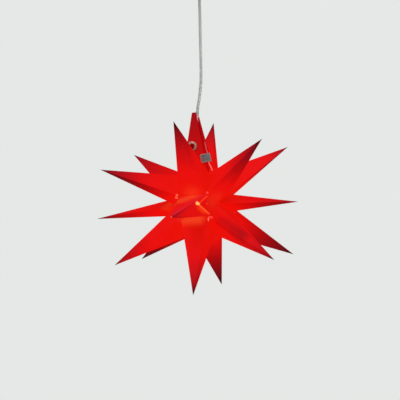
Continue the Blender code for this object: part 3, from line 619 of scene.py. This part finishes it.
def clip_metal():
    """Dull bent sheet steel, brushed across, painted darker and browner as shade on its left, paler at its
    rims
    """
    tree = Tree("clip_steel_look")
    place = tree.place()
    away = tree.vector("SUBTRACT", place, CLIP_CENTRE)
    up = tree.math("ABSOLUTE", tree.vector("DOT_PRODUCT", away, CLIP_UP, 1))
    side = tree.vector("DOT_PRODUCT", away, CLIP_ACROSS, 1)
    brushed = tree.noise(tree.vector("MULTIPLY", place, CLIP_BRUSHING), 1.0, 2.0)
    # Painted shade: the left wing of the bent clip turns darker and browner
    left_shading = tree.math("MULTIPLY", side, CLIP_LEFT_SHADING)
    patch = tree.span(tree.math("SUBTRACT", tree.noise(place, 420.0, 4.0, 0.6), left_shading), 0.40, 0.62)
    sheet = tree.mix(patch, rgba(CLIP_STEEL), rgba(CLIP_SHADED_BROWN))
    away_from_spot = distance(tree, place, CLIP_SPOT)
    spot = tree.span(away_from_spot, *CLIP_SPOT_REACH, 0.0, CLIP_SPOT_SHARE, smooth=True)
    sheet = tree.mix(spot, sheet, rgba(CLIP_SPOT_COLOUR))
    rims = [
        tree.span(up, CLIP_HALF_HEIGHT - CLIP_RIM, CLIP_HALF_HEIGHT, 0.0, CLIP_RIM_TOP_AND_BOTTOM),
        tree.span(side, CLIP_LEFT + CLIP_RIM, CLIP_LEFT, 0.0, CLIP_RIM_LEFT),
        tree.span(side, CLIP_RIGHT - CLIP_RIM, CLIP_RIGHT, 0.0, CLIP_RIM_RIGHT),
    ]
    rim = tree.math("MAXIMUM", rims[0], tree.math("MAXIMUM", rims[1], rims[2]))
    tree.set(
        Base_Color=tree.mix(rim, sheet, rgba(CLIP_RIM_COLOUR)),
        Metallic=tree.span(patch, 0.0, 1.0, 0.75, 0.5),
        Roughness=tree.span(brushed, 0.2, 0.8, 0.36, 0.54),
        Normal=tree.bump(brushed, 0.15, GRAIN_HEIGHT),
    )
    return tree.mat


def eyelet_metal():
    """Rolled brass gone pale and dull, painted lighter on top as light and browner below as shade"""
    tree = Tree("eyelet_brass_look")
    place = tree.place()
    rise = tree.vector("DOT_PRODUCT", tree.vector("SUBTRACT", place, EYELET_CENTRE), EYELET_UP, 1)
    # Painted light from above: lighter towards the top, browner towards the bottom
    top_highlight = tree.math("MULTIPLY", rise, EYELET_TOP_HIGHLIGHT / EYELET_REACH)
    stain_and_highlight = tree.math("ADD", tree.noise(place, 900.0, 4.0, 0.6), top_highlight)
    tree.set(
        Base_Color=tree.ramp(stain_and_highlight, EYELET_SHADES),
        Metallic=EYELET_METALLIC,
        Roughness=tree.varied(stain_and_highlight, 0.55, 0.40),
        Normal=tree.bump(tree.noise(place, 2600.0, 3.0), 0.12, GRAIN_HEIGHT),
    )
    return tree.mat


def edge_foil():
    """The foil's back, painted pale with a glow of light as if lit from behind"""
    tree = Tree("foil_edge_look")
    place = tree.place()
    low, high = TONGUE_EDGE_GLOW[0][0], TONGUE_EDGE_GLOW[-1][0]
    stops = [((z - low) / (high - low), colour) for z, colour in TONGUE_EDGE_GLOW]
    tree.set(
        Base_Color=rgba(TONGUE_EDGE_COLOUR),
        Roughness=tree.varied(tree.noise(place, 900.0, 3.0), 0.40, 0.55),
        Emission_Color=tree.ramp(tree.span(tree.component(place, 2), low, high), stops),
        Emission_Strength=tree.varied(tree.noise(place, 700.0, 2.0), 0.9, 1.1),
        Specular_IOR_Level=0.1,
    )
    return tree.mat


def sheath_plastic():
    """Clear cable sheath, a little grey, painted red inside the star as the red light there, and glowing
    with painted light
    """
    tree = Tree("cable_sheath")
    place = tree.place()
    height = tree.component(place, 2)
    # Painted red light on the sheath inside the star
    inside = tree.span(height, *CABLE_INSIDE_Z, 1.0, 0.0)
    tree.set(
        Base_Color=tree.mix(inside, rgba(CABLE_CLEAR), rgba(CABLE_PAINTED_RED_LIGHT)),
        Emission_Color=tree.ramp(tree.span(height, *CABLE_LIGHT_Z), CABLE_LIGHT),
        Emission_Strength=1.0,
        Roughness=tree.varied(tree.noise(place, 1200.0, 2.0), 0.10, 0.20),
        Transmission_Weight=0.7,
        IOR=1.45,
        Normal=tree.bump(tree.noise(place, 700.0, 2.0), 0.06, CABLE_GRAIN_HEIGHT),
    )
    return tree.mat


def wire_metal(side):
    """Stranded tinned wire, lighter and darker where its strands wind, the left wire painted darker as shade
    """
    dark, light = WIRE_SHADES_LIT_AND_SHADED[side]
    tree = Tree("cable_wire_look_" + side)
    place = tree.place()
    wound = tree.noise(tree.vector("MULTIPLY", place, WIRE_WINDING), 1.0, 2.0, 0.5, 1.5)
    tree.set(
        Base_Color=tree.ramp(wound, ((0.35, dark), (0.65, light))),
        Metallic=0.8,
        Roughness=0.4,
        Normal=tree.bump(wound, 0.4, CABLE_GRAIN_HEIGHT),
    )
    return tree.mat


def moulded(name, colour, warm, roughness):
    """Moulded plastic with a fine grain and slight soiling"""
    tree = Tree(name)
    place = tree.place()
    soil = tree.span(tree.noise(place, 140.0, 5.0, 0.6), 0.42, 0.72)
    grain = tree.noise(place, 2200.0, 3.0)
    tree.set(
        Base_Color=tree.mix(soil, rgba(colour), rgba(warm)),
        Roughness=tree.varied(grain, roughness - 0.05, roughness + 0.07),
        Normal=tree.bump(grain, 0.10, GRAIN_HEIGHT),
    )
    return tree.mat


def lamp_glass():
    """Warm cast lamp body, which glows a little unevenly"""
    tree = Tree("lamp_warm_look")
    place = tree.place()
    swirl = tree.varied(tree.noise(place, 700.0, 2.0, 0.5, 0.8), 0.85, 1.10)
    tree.set(
        Base_Color=rgba(LAMP_BODY_COLOUR),
        Roughness=tree.varied(tree.noise(place, 1600.0, 2.0), 0.10, 0.20),
        Emission_Color=rgba(LAMP_LIGHT_COLOUR),
        Emission_Strength=tree.math("MULTIPLY", swirl, LAMP_LIGHT_STRENGTH),
    )
    return tree.mat


def ball_metal():
    """Turned steel with fine rings"""
    tree = Tree("ball_steel_look")
    place = tree.place()
    rings = tree.noise(tree.vector("MULTIPLY", place, BALL_TURNING), 1.0, 2.0)
    tree.set(
        Base_Color=tree.ramp(rings, BALL_SHADES),
        Metallic=0.95,
        Roughness=tree.varied(rings, 0.22, 0.34),
        Normal=tree.bump(rings, 0.10, GRAIN_HEIGHT),
    )
    return tree.mat


# Shapes


def smooth_route(route, count):
    """Points evenly spaced on a smooth curve through the chosen ones, and its length"""
    knots = [Vector(point) for point in route]
    knots = [2 * knots[0] - knots[1]] + knots + [2 * knots[-1] - knots[-2]]
    fine = []
    for a, b, c, d in zip(knots, knots[1:], knots[2:], knots[3:]):
        for step in range(SPAN_STEPS):
            t = step / SPAN_STEPS
            linear = (c - a) * t
            square = (2 * a - 5 * b + 4 * c - d) * t**2
            cubic = (3 * b - a - 3 * c + d) * t**3
            fine.append(b + (linear + square + cubic) / 2)
    fine.append(knots[-2])
    return evenly(fine, count)


def evenly(fine, count):
    """Points at equal distances along a finely drawn line, and the line's length"""
    lengths = [0.0]
    for here, there in zip(fine, fine[1:]):
        lengths.append(lengths[-1] + (there - here).length)
    points = []
    index = 0
    for number in range(count):
        wanted = lengths[-1] * number / (count - 1)
        while index < len(lengths) - 2 and lengths[index + 1] < wanted:
            index += 1
        share = (wanted - lengths[index]) / (lengths[index + 1] - lengths[index])
        points.append(fine[index].lerp(fine[index + 1], share))
    return points, lengths[-1]


def twin_section():
    """Outline of two round strands side by side, joined by a narrow web"""
    join = pi - acos(STRAND_OFFSET / STRAND_RADIUS)
    outline = []
    for side in (1, -1):
        for step in range(SECTION_STEPS + 1):
            turn = -join + 2 * join * step / SECTION_STEPS
            x = side * (STRAND_OFFSET + STRAND_RADIUS * cos(turn))
            outline.append((x, side * STRAND_RADIUS * sin(turn)))
    return outline


def swept(name, points, outline):
    """A section carried along a line, its X kept as near as can be to the object's X"""
    bm = bmesh.new()
    rings = []
    for index, point in enumerate(points):
        along = (points[min(index + 1, len(points) - 1)] - points[max(index - 1, 0)]).normalized()
        across = (Vector((1.0, 0.0, 0.0)) - along * along.x).normalized()
        depth = along.cross(across)
        rings.append([bm.verts.new(point + across * x + depth * y) for x, y in outline])
    for one, two in zip(rings, rings[1:]):
        for k in range(len(outline)):
            after = (k + 1) % len(outline)
            bm.faces.new((one[k], one[after], two[after], two[k]))
    bm.faces.new(rings[0][::-1])
    bm.faces.new(rings[-1])
    bmesh.ops.recalc_face_normals(bm, faces=bm.faces)
    return as_object(name, bm)


def as_object(name, bm):
    """The bmesh as a smooth-shaded object in the scene"""
    mesh = bpy.data.meshes.new(name)
    bm.to_mesh(mesh)
    bm.free()
    mesh.shade_smooth()
    ob = bpy.data.objects.new(name, mesh)
    bpy.context.scene.collection.objects.link(ob)
    return ob


def dress(ob, mat):
    """Give an object one material, in its own slots"""
    if not ob.material_slots:
        ob.data.materials.append(mat)
    for entry in ob.material_slots:
        entry.link = "OBJECT"
        entry.material = mat


def circle(radius, offset):
    """Outline of a round wire, set off to one side"""
    return [
        (offset + radius * cos(2 * pi * step / SECTION_STEPS), radius * sin(2 * pi * step / SECTION_STEPS))
        for step in range(SECTION_STEPS)
    ]


# Scene


def make_camera():
    """Level camera at the photograph's viewing angle"""
    data = bpy.data.cameras.new("camera")
    data.sensor_width = CAMERA_SENSOR
    data.lens = CAMERA_LENS
    data.clip_start = CAMERA_CLIP_START
    ob = bpy.data.objects.new("camera", data)
    bpy.context.scene.collection.objects.link(ob)
    x, y, z = STAR_CENTRE
    ob.location = (x + CAMERA_SHIFT_X, y - CAMERA_DISTANCE, z + CAMERA_SHIFT_Z)
    ob.rotation_euler = (pi / 2, 0.0, 0.0)
    bpy.context.scene.camera = ob


def make_lamps():
    """Large soft lamps round the star"""
    for name, (place, size, power) in LAMPS.items():
        data = bpy.data.lights.new("lamp_" + name, "AREA")
        data.size = size
        data.energy = power
        ob = bpy.data.objects.new("lamp_" + name, data)
        bpy.context.scene.collection.objects.link(ob)
        ob.location = place
        ob.rotation_euler = (Vector(STAR_CENTRE) - Vector(place)).to_track_quat("-Z", "Y").to_euler()


def larger(nodes, links, first, second):
    """The larger of two outputs"""
    node = nodes.new("ShaderNodeMath")
    node.operation = "MAXIMUM"
    links.new(first, node.inputs[0])
    links.new(second, node.inputs[1])
    return node.outputs[0]


def mixed_shaders(nodes, links, share, first, second):
    """Two shaders in one, with the share of the second"""
    node = nodes.new("ShaderNodeMixShader")
    for socket, output in zip(node.inputs, (share, first, second)):
        links.new(output, socket)
    return node.outputs[0]


def seen_directly(nodes, links):
    """One where a camera, mirror or glass ray arrives, and nought for light"""
    path = nodes.new("ShaderNodeLightPath")
    seen = larger(nodes, links, path.outputs["Is Camera Ray"], path.outputs["Is Glossy Ray"])
    return larger(nodes, links, seen, path.outputs["Is Transmission Ray"])


def make_world():
    """Pale surroundings: plain to look at, and a soft even light"""
    world = bpy.data.worlds.new("surroundings")
    bpy.context.scene.world = world
    world.use_nodes = True
    nodes, links = world.node_tree.nodes, world.node_tree.links
    nodes.clear()
    light = nodes.new("ShaderNodeBackground")
    light.inputs[0].default_value = rgba(WORLD_LIGHT)
    light.inputs[1].default_value = WORLD_STRENGTH
    view = nodes.new("ShaderNodeBackground")
    view.inputs[0].default_value = rgba(BACKGROUND)
    both = mixed_shaders(nodes, links, seen_directly(nodes, links), light.outputs[0], view.outputs[0])
    links.new(both, nodes.new("ShaderNodeOutputWorld").inputs[0])


def floor_surface():
    """Pale floor that fades into the surroundings away from the star, and isn't there from below"""
    mat = bpy.data.materials.new("floor")
    mat.use_nodes = True
    nodes, links = mat.node_tree.nodes, mat.node_tree.links
    nodes.clear()
    diffuse = nodes.new("ShaderNodeBsdfDiffuse")
    diffuse.inputs[0].default_value = rgba(BACKGROUND)
    clear = nodes.new("ShaderNodeBsdfTransparent")
    coords = nodes.new("ShaderNodeTexCoord")
    length = nodes.new("ShaderNodeVectorMath")
    length.operation = "LENGTH"
    links.new(coords.outputs["Object"], length.inputs[0])
    fade = nodes.new("ShaderNodeMapRange")
    fade.interpolation_type = "SMOOTHSTEP"
    fade.inputs[1].default_value = FLOOR_KEPT_RADIUS
    fade.inputs[2].default_value = FLOOR_FADE_RADIUS
    links.new(length.outputs["Value"], fade.inputs[0])
    below = nodes.new("ShaderNodeNewGeometry")
    hidden = larger(nodes, links, fade.outputs[0], below.outputs["Backfacing"])
    both = mixed_shaders(nodes, links, hidden, diffuse.outputs[0], clear.outputs[0])
    links.new(both, nodes.new("ShaderNodeOutputMaterial").inputs[0])
    return mat


def make_floor():
    """A wide plain floor below the star"""
    bm = bmesh.new()
    bmesh.ops.create_grid(bm, x_segments=1, y_segments=1, size=FLOOR_SIZE / 2)
    floor = as_object("floor", bm)
    floor.location = (0.0, 0.0, FLOOR_Z)
    floor.data.materials.append(floor_surface())


# Object


def make_cable():
    """Clear twin cable: a sheath round two wires"""
    points, length = smooth_route(CABLE_ROUTE, CABLE_POINTS)
    sheath = swept("cable_sheath", points, twin_section())
    dress(sheath, sheath_plastic())
    for side, offset in (("left", -STRAND_OFFSET), ("right", STRAND_OFFSET)):
        wire = swept("cable_wire_" + side, points, circle(CORE_RADIUS, offset))
        dress(wire, wire_metal(side))
        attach(wire, "star")
    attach(sheath, "star")
    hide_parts("cable")


def make_tongue_edge():
    """Folded edge of the top right gusset's tongue, painted pale with a glow of light"""
    half_width, half_depth = TONGUE_EDGE_WIDTH / 2, TONGUE_EDGE_DEPTH / 2
    outline = [(x * half_width, y * half_depth) for x, y in ((1, 1), (-1, 1), (-1, -1), (1, -1))]
    points, _ = smooth_route(TONGUE_EDGE, TONGUE_EDGE_POINTS)
    edge = swept("tongue_edge_fold", points, outline)
    dress(edge, edge_foil())
    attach(edge, "star")


def body_corners(frame):
    """The star body's corners, under the pins that stand on them, in the pins' order"""
    centre = Vector(STAR_CENTRE)
    corners = []
    for name in sorted(name for name in frame["nodes"] if name.startswith("corner_pin_")):
        pin = frame["nodes"][name]
        away = [pin.matrix_world @ vert.co - centre for vert in pin.data.vertices]
        reach = max(vector.length for vector in away) - PIN_HEAD_RISE
        corners.append(centre + sum(away, Vector()).normalized() * reach)
    return corners


def is_seam(one, two):
    """Whether a seam joins two corners, which are numbered by axis and then by the signs of their places"""
    axis_one, signs_one = divmod(one, CORNERS_PER_AXIS)
    axis_two, signs_two = divmod(two, CORNERS_PER_AXIS)
    if axis_one != axis_two:
        return signs_one == signs_two
    return signs_one ^ signs_two in set(SIGN_BITS) - {SIGN_BITS[axis_one]}


def add_tab(bm, one, two):
    """A thin strip a little inside the seam between two corners"""
    middle = (one + two) / 2
    along = (two - one).normalized()
    out = middle - Vector(STAR_CENTRE)
    out = (out - along * out.dot(along)).normalized()
    length = (two - one).length - 2 * TAB_END
    place = Matrix.Translation(middle - out * TAB_DEPTH)
    turn = Matrix((along, out.cross(along), out)).transposed().to_4x4()
    size = Matrix.Diagonal((length, TAB_WIDTH, TAB_THICKNESS, 1.0))
    bmesh.ops.create_cube(bm, size=1.0, matrix=place @ turn @ size)


def make_seam_tabs(frame):
    """Foil tabs behind every seam but those round the open lowest face"""
    corners = body_corners(frame)
    bm = bmesh.new()
    for one, two in combinations(range(len(corners)), 2):
        if is_seam(one, two) and max(corners[one].z, corners[two].z) > OPEN_FACE_Z:
            add_tab(bm, corners[one], corners[two])
    tabs = as_object("seam_tabs", bm)
    tabs.data.shade_flat()
    dress(tabs, foil("seam_tabs"))
    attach(tabs, "star")


def dress_foil(frame):
    """Foil on every point and gusset"""
    for name, ob in frame["nodes"].items():
        if name == "cable_point" or name.startswith(("point_", "gusset_")):
            dress(ob, foil(name))


def dress_fittings(frame):
    """Materials of everything but the foil and the cable"""
    red_pin = pin_plastic("red", PIN_RED_GLOW)
    white = moulded("fitting_white_look", *CEILING_WHITE)
    looks = {
        "seam_clip": clip_metal(),
        "eyelet": eyelet_metal(),
        "cable_stop": moulded("stop_clear_look", *STOP_CLEAR),
        "lamp_holder": moulded("holder_white_look", *HOLDER_WHITE),
        "led_lamp": lamp_glass(),
        "ceiling_plate": moulded("plate_grey_look", *PLATE_GREY),
        "ceiling_canopy": white,
        "cord_grip": white,
        "swivel_ball": ball_metal(),
    }
    for name, ob in frame["nodes"].items():
        if name in looks:
            dress(ob, looks[name])
        elif name.startswith("corner_pin_"):
            dress(ob, pin_plastic(name, LIT_PINS[name]) if name in LIT_PINS else red_pin)


def main():
    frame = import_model()
    bpy.context.scene.view_settings.view_transform = "Standard"
    make_camera()
    make_cable()
    make_tongue_edge()
    make_seam_tabs(frame)
    dress_foil(frame)
    dress_fittings(frame)
    make_world()
    make_floor()
    make_lamps()


main()
